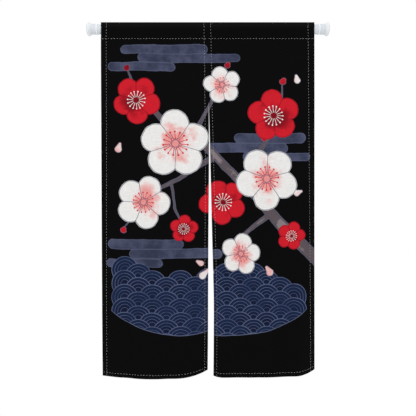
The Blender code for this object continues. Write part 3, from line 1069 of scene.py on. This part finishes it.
def build_blossom(name):
    """Paints a five-petalled plum blossom over a colour: petals, their wash and veins, the outline, the
    stamens with their tips, and the core."""
    group, w, given, result = new_group(
        name,
        [
            ("Under", "colour"),
            ("Place", "vector"),
            ("Middle", "vector"),
            ("Radius", "number"),
            ("Turn", "number"),
            ("Wash", "number"),
            ("Petal", "colour"),
            ("Heart", "colour"),
            ("Outline", "colour"),
            ("Stamen", "colour"),
        ],
        [("Colour", "colour")],
    )
    local = w.vector("SUBTRACT", given["Place"], given["Middle"])
    local = w.vector("SCALE", local, scale=w.math("DIVIDE", 1.0, given["Radius"]))
    x, y = w.split(local)
    out = w.vector("LENGTH", local)
    angle = w.math("ADD", w.math("ARCTAN2", y, x), given["Turn"])
    line = w.math("DIVIDE", BLOSSOM_LINE, given["Radius"])
    thin = w.math("MULTIPLY", line, 0.5)

    def folded(count):
        """The place as if every sector lay over the first."""
        sector = math.tau / count
        turned = w.math("SUBTRACT", w.math("FLOORED_MODULO", angle, sector), sector / 2)
        return [w.math("MULTIPLY", out, w.math(wave, turned)) for wave in ("COSINE", "SINE")]

    petal_x, petal_y = folded(PETALS)
    from_petal = w.vector("DISTANCE", w.join(petal_x, petal_y), (PETAL_MIDDLE, 0.0, 0.0))
    petal = w.math("SUBTRACT", from_petal, PETAL_RADIUS)
    half = math.pi / PETALS
    beside = w.math("MULTIPLY", w.math("ABSOLUTE", petal_y), math.cos(half))
    fold = w.math("ABSOLUTE", w.math("SUBTRACT", w.math("MULTIPLY", petal_x, math.sin(half)), beside))
    inside = w.fade(w.math("MINIMUM", petal, w.math("SUBTRACT", out, PETALS_PART)), 0.0, 0.012)
    wash = w.math("MULTIPLY_ADD", given["Wash"], 0.5, -0.25)
    bloom = w.fade(w.math("ADD", out, wash), 0.16, 0.66, 0.92, 0.0)
    colour = w.blend(bloom, given["Petal"], given["Heart"])
    _, vein_y = folded(VEINS)
    vein = w.fade(w.math("ABSOLUTE", vein_y), 0.004, 0.014, 0.14, 0.0)
    reach = w.fade(out, 0.42, 0.80)
    colour = w.blend(w.math("MULTIPLY", vein, reach), colour, given["Heart"])
    edge_line = w.fade(w.math("ABSOLUTE", w.math("ADD", petal, line)), thin, line, 0.9, 0.0)
    fold_line = w.fade(fold, thin, line, 0.9, 0.0)
    fold_line = w.math("MULTIPLY", fold_line, w.fade(out, 0.16, 0.22, 0.0, 1.0))
    colour = w.blend(w.math("MAXIMUM", edge_line, fold_line), colour, given["Outline"])
    stamen_x, stamen_y = folded(STAMENS)
    filament = w.fade(w.math("ABSOLUTE", stamen_y), 0.007, 0.013)
    filament = w.math("MULTIPLY", filament, w.fade(out, STAMEN_END, STAMEN_END + 0.02))
    from_tip = w.vector("DISTANCE", w.join(stamen_x, stamen_y), (STAMEN_TIP, 0.0, 0.0))
    tip = w.fade(from_tip, 0.024, 0.034)
    colour = w.blend(w.math("MAXIMUM", filament, tip), colour, given["Stamen"])
    colour = w.blend(w.fade(out, CORE_RADIUS, CORE_RADIUS + 0.02), colour, given["Heart"])
    from_ring = w.math("ABSOLUTE", w.math("SUBTRACT", out, CORE_RING))
    colour = w.blend(w.fade(from_ring, 0.006, 0.014), colour, given["Outline"])
    w.put(result["Colour"], w.blend(inside, given["Under"], colour))
    return group


def build_wave_row(name):
    """Paints one row of overlapping wave scales over a colour, where their middles lie in the sea. Three
    such rows, a step apart, cover every place."""
    group, w, given, result = new_group(
        name,
        [
            ("Under", "colour"),
            ("Place", "vector"),
            ("Row step", "number"),
            ("Wash", "number"),
            ("Body", "colour"),
            ("Deep", "colour"),
            ("Line", "colour"),
        ],
        [("Colour", "colour")],
    )
    x, y = w.split(given["Place"])
    row = w.math("ADD", w.math("FLOOR", w.math("DIVIDE", y, WAVE_RADIUS / 2)), given["Row step"])
    shift = w.math("MULTIPLY", w.math("FLOORED_MODULO", row, 2.0), WAVE_RADIUS)
    turns = w.math("DIVIDE", w.math("SUBTRACT", x, shift), 2 * WAVE_RADIUS)
    middle_x = w.math("MULTIPLY_ADD", w.math("ROUND", turns), 2 * WAVE_RADIUS, shift)
    middle_y = w.math("MULTIPLY", row, WAVE_RADIUS / 2)
    middle = w.join(middle_x, middle_y)
    out = w.math("DIVIDE", w.vector("DISTANCE", w.join(x, y), middle), WAVE_RADIUS)
    swell = w.math("SINE", w.math("MULTIPLY", middle_x, math.tau * WAVE_SWELLS_PER_METRE))
    top = w.math("MULTIPLY_ADD", swell, WAVE_SWELL, WAVE_TOP)
    top = w.math("MULTIPLY_ADD", middle_x, WAVE_LEAN, top)
    in_sea = w.math("LESS_THAN", middle_y, top)
    in_sea = w.math("MULTIPLY", in_sea, w.math("LESS_THAN", w.math("ABSOLUTE", middle_x), WAVE_REACH))
    chance = w.math("MULTIPLY", w.vector("DOT_PRODUCT", middle, (311.7, 947.3, 0)), 7.13)
    tone = w.math("FRACT", w.math("MULTIPLY", w.math("SINE", chance), 517.9))
    wash = w.math("MULTIPLY_ADD", w.math("SUBTRACT", given["Wash"], 0.5), 0.9, tone)
    shade = w.math("MULTIPLY", w.fade(out, 0.1, 0.95, 1.0, 0.25), w.math("MULTIPLY_ADD", wash, 0.5, 0.4))
    colour = w.blend(shade, given["Body"], given["Deep"])
    marks = None
    for ring, width in WAVE_RINGS:
        off = w.math("ABSOLUTE", w.math("SUBTRACT", out, ring))
        mark = w.fade(off, width * 0.6, width * 1.3, 0.9, 0.0)
        marks = mark if marks is None else w.math("MAXIMUM", marks, mark)
    faint = w.math("MULTIPLY", marks, w.share(w.math("MULTIPLY_ADD", given["Wash"], 0.7, 0.45)))
    colour = w.blend(faint, colour, given["Line"])
    off_middle = w.math("POWER", w.math("DIVIDE", w.math("ABSOLUTE", x), WAVE_REACH), 3.0)
    above_foot = w.math("SUBTRACT", y, w.math("MULTIPLY_ADD", off_middle, WAVE_BOTTOM_RISE, WAVE_BOTTOM))
    colour = w.blend(w.fade(above_foot, 0.002, 0.004, 0.9, 0.0), colour, given["Line"])
    here = w.math("MULTIPLY", in_sea, w.fade(out, 0.985, 1.0))
    here = w.math("MULTIPLY", here, w.fade(above_foot, 0.0, 0.001, 0.0, 1.0))
    w.put(result["Colour"], w.blend(here, given["Under"], colour))
    return group


def nearest_stroke(w, stroke, place, strokes, soften):
    """Distance from the nearest of several strokes, run together where they meet."""
    nearest = None
    for x0, y0, x1, y1, start, end in strokes:
        values = {
            "Place": place,
            "From": (x0, y0, 0),
            "To": (x1, y1, 0),
            "Start radius": start,
            "End radius": end,
        }
        distance = w.use(stroke, values)["Distance"]
        nearest = distance if nearest is None else w.math("SMOOTH_MIN", nearest, distance, soften)
    return nearest


def nearest_blossom(w, place, blossoms):
    """Middle, radius and turn of the blossom that is nearest in its own radii."""
    nearest = middle = form = None
    for x, y, radius, turn in blossoms:
        gone = w.math("DIVIDE", w.vector("DISTANCE", place, (x, y, 0)), radius)
        if nearest is None:
            nearest, middle, form = gone, (x, y, 0), (radius, turn, 0)
            continue
        closer = w.math("LESS_THAN", gone, nearest)
        nearest = w.math("MINIMUM", gone, nearest)
        middle = w.pick(closer, middle, (x, y, 0))
        form = w.pick(closer, form, (radius, turn, 0))
    return middle, *w.split(form)


PRINT_COLOURS = (
    "ground",
    "white",
    "blush",
    "red",
    "deep_red",
    "outline",
    "bark",
    "pale_bark",
    "mist",
    "pale_mist",
    "wave",
    "deep_wave",
    "wave_line",
)


def build_print(name):
    """The whole print: mist, waves, a plum branch and its blossoms, in washes with uneven edges."""
    takes = [("Place", "vector")] + [(label, "colour") for label in PRINT_COLOURS]
    group, w, given, result = new_group(name, takes, [("Colour", "colour"), ("Ink", "number")])
    place = given["Place"]
    wander = w.noise(place, 7.0, detail=4.0, roughness=0.6).outputs[1]
    wander = w.vector("SUBTRACT", wander, (0.5, 0.5, 0.5))
    drawn = w.vector("ADD", place, w.vector("SCALE", wander, scale=0.016))
    rippled = w.vector("ADD", place, w.vector("SCALE", wander, scale=0.007))
    wash = w.noise(place, 11.0, detail=7.0, roughness=0.62).outputs[0]
    wash = w.fade(wash, 0.32, 0.68, 0.0, 1.0)
    stroke = group_once("Brush stroke", build_stroke)
    blossom = group_once("Plum blossom", build_blossom)
    wave_row = group_once("Wave row", build_wave_row)

    def laid(colour, off, body):
        """A body laid over a colour where the distance is below nought."""
        return w.blend(w.fade(off, 0.0, 0.0010), colour, body)

    def lined(body, off, start, strength):
        """A body that turns into outline at its rim."""
        return w.blend(w.fade(off, start, start + 0.0012, 0.0, strength), body, given["outline"])

    colour = given["ground"]
    for bank in MIST_BANKS:
        strokes = [(x0, y, x1, y, radius, radius) for x0, x1, y, radius in bank]
        off = nearest_stroke(w, stroke, drawn, strokes, 0.006)
        body = w.blend(wash, given["mist"], given["pale_mist"])
        rim = w.fade(w.math("ABSOLUTE", w.math("ADD", off, 0.0014)), 0.0006, 0.0018, 0.55, 0.0)
        body = w.blend(rim, body, given["outline"])
        colour = w.blend(w.fade(off, 0.0, 0.0012), colour, body)
    for step in (1.0, 0.0, -1.0):
        values = {
            "Under": colour,
            "Place": rippled,
            "Row step": step,
            "Wash": wash,
            "Body": given["wave"],
            "Deep": given["deep_wave"],
            "Line": given["wave_line"],
        }
        colour = w.use(wave_row, values)["Colour"]
    strokes = [
        (x0, y0, x1, y1, start, end)
        for branch in BRANCHES
        for (x0, y0, start), (x1, y1, end) in zip(branch, branch[1:])
    ]
    off = nearest_stroke(w, stroke, drawn, strokes, 0.004)
    worn = w.math("MULTIPLY", w.fade(off, -0.011, -0.003), w.fade(wash, 0.3, 0.8, 0.1, 1.0))
    body = w.blend(worn, given["bark"], given["pale_bark"])
    colour = laid(colour, off, lined(body, off, -0.0026, 0.75))
    buds = [(x, y, x + 0.002, y + 0.004, radius, radius * 0.7) for x, y, radius in BUDS]
    off = nearest_stroke(w, stroke, drawn, buds, 0.001)
    body = w.blend(wash, given["red"], given["deep_red"])
    colour = laid(colour, off, lined(body, off, -0.0026, 0.7))
    petals = [
        (x, y, x + 1.5 * radius * math.cos(turn), y + 1.5 * radius * math.sin(turn), radius, radius * 0.45)
        for x, y, radius, turn in DRIFTING_PETALS
    ]
    off = nearest_stroke(w, stroke, drawn, petals, 0.001)
    body = w.blend(w.math("MULTIPLY", wash, 0.8), given["white"], given["blush"])
    colour = laid(colour, off, lined(body, off, -0.0024, 0.7))
    kinds = (
        (RED_BLOSSOMS, "red", "deep_red", "deep_red", "white"),
        (WHITE_BLOSSOMS, "white", "blush", "outline", "red"),
    )
    for blossoms, petal, heart, outline, stamen in kinds:
        middle, radius, turn = nearest_blossom(w, drawn, blossoms)
        values = {
            "Under": colour,
            "Place": drawn,
            "Middle": middle,
            "Radius": radius,
            "Turn": turn,
            "Wash": wash,
            "Petal": given[petal],
            "Heart": given[heart],
            "Outline": given[outline],
            "Stamen": given[stamen],
        }
        colour = w.use(blossom, values)["Colour"]
    w.put(result["Colour"], colour)
    w.put(result["Ink"], w.fade(w.vector("LENGTH", colour), 0.02, 0.12, 0.0, 1.0))
    return group


def new_material(name):
    """A node material, its wiring and its Principled shader."""
    made = bpy.data.materials.new(name)
    made.use_nodes = True
    return made, Wiring(made.node_tree), made.node_tree.nodes["Principled BSDF"]


def rgba(colour):
    return (*colour, 1.0)


def printed_colour(w, place, prints):
    """The print's colour and ink at a place on the flat cloth."""
    values = {label: rgba(getattr(prints, label)) for label in PRINT_COLOURS}
    return w.use(group_once("Noren print", build_print), {"Place": place, **values})


def woven(w, shader, place, pitch, strength):
    """Gives a shader the weave's bump, and returns the slub of its threads."""
    weave = w.use(group_once("Linen weave", build_weave), {"Place": place, "Thread pitch": pitch})
    height = w.math("MULTIPLY_ADD", weave["Slub"], 1.6, weave["Height"])
    bump = w.node("ShaderNodeBump", {"Strength": strength, "Distance": 0.16 * MM, "Height": height})
    w.put(shader.inputs["Normal"], bump.outputs["Normal"])
    return weave["Slub"]


def printed_cloth(cloth, prints):
    """The face of the cloth: the print on slubbed plain weave."""
    made, w, shader = new_material("Printed cloth")
    place = w.node("ShaderNodeUVMap", uv_map="Flat cloth").outputs["UV"]
    ink = printed_colour(w, place, prints)
    slub = woven(w, shader, place, cloth.thread_pitch, 0.55)
    shade = w.fade(slub, 0.30, 0.70, 0.86, 1.07)
    w.put(shader.inputs["Base Color"], w.vector("SCALE", ink["Colour"], scale=shade))
    w.put(shader.inputs["Roughness"], w.fade(ink["Ink"], 0.0, 1.0, 0.92, 0.80))
    shader.inputs["Specular IOR Level"].default_value = 0.06
    return made


def plain_cloth(cloth, prints):
    """The back of the cloth, where the print shows through faintly."""
    made, w, shader = new_material("Back of the cloth")
    place = w.node("ShaderNodeUVMap", uv_map="Flat cloth").outputs["UV"]
    ink = printed_colour(w, place, prints)
    slub = woven(w, shader, place, cloth.thread_pitch, 0.6)
    ghost = w.blend(0.26, rgba(prints.reverse), ink["Colour"])
    w.put(shader.inputs["Base Color"], w.vector("SCALE", ghost, scale=w.fade(slub, 0.30, 0.70, 0.72, 1.25)))
    shader.inputs["Roughness"].default_value = 0.95
    shader.inputs["Specular IOR Level"].default_value = 0.06
    return made


def spun_thread(name, colour):
    """Sewing thread: plies that wind round it, with painted shade in the grooves between them."""
    made, w, shader = new_material(name)
    place = w.node("ShaderNodeUVMap", uv_map="Thread").outputs["UV"]
    along, around = w.split(place)
    turns = w.math("ADD", w.math("MULTIPLY", along, 1450.0), w.math("MULTIPLY", around, 2100.0))
    ply = w.math("ABSOLUTE", w.math("SINE", turns))
    bump = w.node("ShaderNodeBump", {"Strength": 0.7, "Distance": 0.06 * MM, "Height": ply})
    w.put(shader.inputs["Normal"], bump.outputs["Normal"])
    # Painted shade: the thread's colour darkens where the ply height is low, in the grooves between the plies
    tone = w.vector("SCALE", rgba(colour)[:3], scale=w.fade(ply, 0.0, 0.7, 0.62, 1.0))
    w.put(shader.inputs["Base Color"], tone)
    shader.inputs["Roughness"].default_value = 0.6
    shader.inputs["Specular IOR Level"].default_value = 0.3
    return made


def build_moulding(name):
    """A moulded or sprayed skin: fine waviness, and a film of handling that dulls it in patches."""
    group, w, given, result = new_group(
        name,
        [("Colour", "colour"), ("Grain size", "number"), ("Roughness", "number")],
        [("Colour", "colour"), ("Height", "number"), ("Roughness", "number")],
    )
    place = w.node("ShaderNodeTexCoord").outputs["Object"]
    fine = w.noise(place, w.math("DIVIDE", 1.0, given["Grain size"]), detail=2.0, flat=False).outputs[0]
    film = w.noise(place, 38.0, detail=4.0, flat=False).outputs[0]
    w.put(result["Height"], fine)
    w.put(result["Colour"], w.vector("SCALE", given["Colour"], scale=w.fade(film, 0.3, 0.7, 0.965, 1.0)))
    w.put(result["Roughness"], w.math("MULTIPLY", given["Roughness"], w.fade(film, 0.3, 0.7, 0.88, 1.15)))
    return group


def moulded(name, colour, grain_size, roughness, depth, specular):
    """White plastic, rubber or enamel with its own grain."""
    made, w, shader = new_material(name)
    values = {"Colour": rgba(colour), "Grain size": grain_size, "Roughness": roughness}
    skin = w.use(group_once("Moulded skin", build_moulding), values)
    w.put(shader.inputs["Base Color"], skin["Colour"])
    w.put(shader.inputs["Roughness"], skin["Roughness"])
    bump = w.node("ShaderNodeBump", {"Strength": 0.5, "Distance": depth, "Height": skin["Height"]})
    w.put(shader.inputs["Normal"], bump.outputs["Normal"])
    shader.inputs["Specular IOR Level"].default_value = specular
    return made


class NOREN_OT_cloth(Operator):
    """Hang the two printed panels on the rod"""

    bl_idname = "noren.cloth"
    bl_label = "Cloth panels"

    def execute(self, context):
        cloth, prints = context.scene.noren_cloth, context.scene.noren_print
        finishes = [printed_cloth(cloth, prints), plain_cloth(cloth, prints)]
        for side in SIDES:
            panel = make_panel(side, cloth, finishes)
            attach(panel, BODY)
            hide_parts(f"panel_{side}")
        return {"FINISHED"}


class NOREN_OT_stitching(Operator):
    """Sew the hems and the pocket in white, and join the panels in black"""

    bl_idname = "noren.stitching"
    bl_label = "Stitching"

    def execute(self, context):
        cloth, thread = context.scene.noren_cloth, context.scene.noren_thread
        white = spun_thread("White thread", thread.white)
        black = spun_thread("Black thread", thread.black)
        joining = make_joining_thread(cloth, thread, black)
        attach(joining, BODY)
        for side in SIDES:
            stitching = make_stitching(side, cloth, thread, white)
            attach(stitching, BODY)
        return {"FINISHED"}


class NOREN_OT_rod(Operator):
    """Draw the two enamelled tubes of the rod"""

    bl_idname = "noren.rod"
    bl_label = "Rod"

    def execute(self, context):
        rod = context.scene.noren_rod
        enamel = moulded("White enamel", rod.tube, 1.6 * MM, 0.24, 0.03 * MM, 0.5)
        for side, node, radius in zip(SIDES, TUBES, (TUBE_RADIUS, INNER_TUBE_RADIUS)):
            low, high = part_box(node)
            ends = (low.x, high.x) if side == "left" else (ROD_END - high.x, ROD_END - low.x)
            tube = make_tube(f"{node}_enamelled", side, ends, radius, enamel, rod.steps)
            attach(tube, BODY)
            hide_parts(node)
        return {"FINISHED"}


def collar_end(side):
    """How far from the rod's end a cap's collar reaches, just into the pocket."""
    cloth_start = edge("left_edge", 0) - ROD_START if side == "left" else ROD_END - edge("right_edge", 0)
    return float(cloth_start) + COLLAR_IN_POCKET


def cap_profile(tube_radius, end):
    """A cap from the bottom of its stem hole, over its outside, to the bottom of its tube socket."""
    body, bead, collar = 20.5 * MM, 21.4 * MM, 19.5 * MM
    start = 18.3 * MM
    bead_start, bead_end = CAP_BEAD
    groove, corner = 1.3 * MM, 0.9 * MM
    stem_hole, stem_bottom = 9.3 * MM, 26.3 * MM
    socket, socket_bottom = tube_radius + 0.3 * MM, 29.8 * MM
    bead_half = (bead_end - bead_start) / 2
    points = [(stem_bottom, 0.0), (stem_bottom, stem_hole), (start, stem_hole)]
    points += arc((start + corner, body - corner), corner, 180, 90)
    points += arc((bead_start - corner, body - corner), corner, 90, 20, 6)
    points.append((bead_start, body - groove))
    for turn in np.radians(np.linspace(165, 15, 15)):
        out = body - groove + (bead - body + groove) * math.sin(turn) ** 0.55
        points.append((bead_start + bead_half + bead_half * 0.97 * math.cos(turn), out))
    points.append((bead_end, collar - groove))
    points += arc((bead_end + corner, collar - corner), corner, 160, 90, 6)
    dome_length, dome_drop = 6.5 * MM, 2.9 * MM
    for turn in np.radians(np.linspace(90, 0, 12)):
        along = end - dome_length * (1 - math.cos(turn))
        points.append((along, collar - dome_drop * (1 - math.sin(turn))))
    mouth = 0.5 * MM
    points += [(end, socket + mouth), (end - mouth, socket), (socket_bottom, socket), (socket_bottom, 0.0)]
    return points


def foot_profile():
    """A foot from its flat end face, round its rim and down its waist, to the end of its stem."""
    face, rim, neck = 18 * MM, 26.5 * MM, 20.4 * MM
    belly, length = 8.5 * MM, 18 * MM
    stem, stem_length = 9 * MM, 8 * MM
    points = [(0.0, 0.0), (0.0, face * 0.5), (0.0, face)]
    for turn in np.radians(np.linspace(8, 90, 14)):
        points.append((belly * (1 - math.cos(turn)), face + (rim - face) * math.sin(turn)))
    for share in np.linspace(0.08, 1.0, 14):
        fall = smooth_step(share * 0.8 + 0.2 * share**2)
        points.append((belly + (length - belly) * share, rim - (rim - neck) * fall))
    return points + [(length, stem), (length + stem_length, stem), (length + stem_length, 0.0)]


class NOREN_OT_fittings(Operator):
    """Turn the caps and the feet at both ends of the rod"""

    bl_idname = "noren.fittings"
    bl_label = "Caps and feet"

    def execute(self, context):
        rod = context.scene.noren_rod
        plastic = moulded("White plastic", rod.cap, 0.9 * MM, 0.34, 0.02 * MM, 0.5)
        # Painted highlight in part: the bead's near-white colour, whiter than the cap plastic, stands in
        # partly for the light along its ridge
        bead_whiter_with_highlight = moulded("Whiter bead with painted highlight", rod.bead, 0.9 * MM, 0.16, 0.01 * MM, 0.6)
        rubber = moulded("Soft foot", rod.foot, 0.7 * MM, 0.5, 0.04 * MM, 0.4)
        for side, radius in zip(SIDES, (TUBE_RADIUS, INNER_TUBE_RADIUS)):
            name = f"end_cap_{side}"
            profile = cap_profile(radius, collar_end(side))
            cap = turned_piece(name, side, profile, [plastic, bead_whiter_with_highlight], rod.steps, MOULD_LINE, CAP_BEAD)
            foot = turned_piece(f"end_foot_{side}", side, foot_profile(), [rubber], rod.steps)
            for piece, node, slot in ((cap, f"cap_{side}", "cap"), (foot, f"foot_{side}", "foot")):
                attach(piece, BODY)
                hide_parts(node)
        return {"FINISHED"}


def area_lamp(name, place, target, size, power):
    """A square soft lamp that points at a place."""
    lamp = bpy.data.lights.new(name, "AREA")
    lamp.shape = "SQUARE"
    lamp.size = size
    lamp.energy = power
    holder = bpy.data.objects.new(name, lamp)
    bpy.context.scene.collection.objects.link(holder)
    holder.location = place
    aim = target - holder.location
    holder.rotation_euler = aim.to_track_quat("-Z", "Y").to_euler()
    return holder


def seen_and_lit(w, seen, lit):
    """A shader that the camera sees one way and that lights the part another way."""
    path = w.node("ShaderNodeLightPath")
    mix = w.node("ShaderNodeMixShader", {0: path.outputs["Is Camera Ray"], 1: lit, 2: seen})
    return mix.outputs[0]


class NOREN_OT_studio(Operator):
    """Set up the floor, the light and the camera"""

    bl_idname = "noren.studio"
    bl_label = "Studio"

    def execute(self, context):
        studio, scene = context.scene.noren_studio, context.scene
        scene.view_settings.view_transform = "Standard"
        # The denoiser's own smoothing of its guides would wash out stitches a sixth of a pixel wide
        scene.cycles.denoising_prefilter = "NONE"
        self.make_floor(studio.under)
        self.make_sky(scene, studio.sky)
        target = Vector((ROD_MIDDLE, 0, CAMERA_HEIGHT))
        area_lamp("Key", (ROD_MIDDLE - 1.1, -2.8, 0.15), target, 2.2, studio.key)
        area_lamp("Fill", (ROD_MIDDLE + 1.7, -2.5, -0.5), target, 1.6, studio.key * 0.4)
        area_lamp("Top", (ROD_MIDDLE, -0.35, 1.3), target, 1.1, studio.top)
        lens = bpy.data.cameras.new("Camera")
        lens.sensor_width = SENSOR
        lens.lens = SENSOR * studio.distance / (PHOTO_WIDTH * METRES_PER_PIXEL)
        camera = bpy.data.objects.new("Camera", lens)
        scene.collection.objects.link(camera)
        camera.location = (ROD_MIDDLE, -studio.distance, CAMERA_HEIGHT)
        camera.rotation_euler = (math.radians(90), 0, 0)
        scene.camera = camera
        return {"FINISHED"}

    def make_floor(self, strength):
        """A wide floor under the hem: plain white to the camera, and a soft even light to the part."""
        made = bpy.data.materials.new("Pale floor")
        made.use_nodes = True
        made.node_tree.nodes.remove(made.node_tree.nodes["Principled BSDF"])
        w = Wiring(made.node_tree)
        seen = w.node("ShaderNodeEmission", {"Color": (1, 1, 1, 1), "Strength": 1.0})
        lit = w.node("ShaderNodeEmission", {"Color": (1, 1, 1, 1), "Strength": strength})
        surface = seen_and_lit(w, seen.outputs[0], lit.outputs[0])
        w.put(made.node_tree.nodes["Material Output"].inputs["Surface"], surface)
        z = CAD_BOX[0].z - FLOOR_BELOW_HEM
        corners = [(sx * FLOOR_REACH, sy * FLOOR_REACH, z) for sx, sy in ((-1, -1), (1, -1), (1, 1), (-1, 1))]
        mesh_object("floor", corners, [(0, 1, 2, 3)], [made], smooth=False)

    def make_sky(self, scene, strength):
        """White all round for the camera, and softer light for the part."""
        world = bpy.data.worlds.new("White studio")
        world.use_nodes = True
        w = Wiring(world.node_tree)
        seen = w.node("ShaderNodeBackground", {"Color": (1, 1, 1, 1), "Strength": 1.0})
        lit = w.node("ShaderNodeBackground", {"Color": (1, 1, 1, 1), "Strength": strength})
        surface = seen_and_lit(w, seen.outputs[0], lit.outputs[0])
        w.put(world.node_tree.nodes["World Output"].inputs["Surface"], surface)
        scene.world = world


OPERATORS = (NOREN_OT_cloth, NOREN_OT_stitching, NOREN_OT_rod, NOREN_OT_fittings, NOREN_OT_studio)
SETTINGS = {
    "noren_cloth": NorenCloth,
    "noren_print": NorenPrint,
    "noren_thread": NorenThread,
    "noren_rod": NorenRod,
    "noren_studio": NorenStudio,
}


class NOREN_PT_sidebar(Panel):
    """Steps that build the noren, with the sizes and colours that they use"""

    bl_label = "Noren"
    bl_space_type = "VIEW_3D"
    bl_region_type = "UI"
    bl_category = "Noren"

    def draw(self, context):
        for operator in OPERATORS:
            self.layout.operator(operator.bl_idname)
        for name, group in SETTINGS.items():
            box = self.layout.box()
            box.label(text=name.replace("_", " ").capitalize())
            for prop in group.__annotations__:
                box.prop(getattr(context.scene, name), prop)


def register():
    for made in (*SETTINGS.values(), *OPERATORS, NOREN_PT_sidebar):
        bpy.utils.register_class(made)
    for name, group in SETTINGS.items():
        setattr(bpy.types.Scene, name, PointerProperty(type=group))


def unregister():
    for name in SETTINGS:
        delattr(bpy.types.Scene, name)
    for made in (NOREN_PT_sidebar, *OPERATORS, *SETTINGS.values()):
        bpy.utils.unregister_class(made)


def main():
    register()
    bpy.ops.noren.cloth()
    bpy.ops.noren.stitching()
    bpy.ops.noren.rod()
    bpy.ops.noren.fittings()
    bpy.ops.noren.studio()


if __name__ == "__main__":
    main()
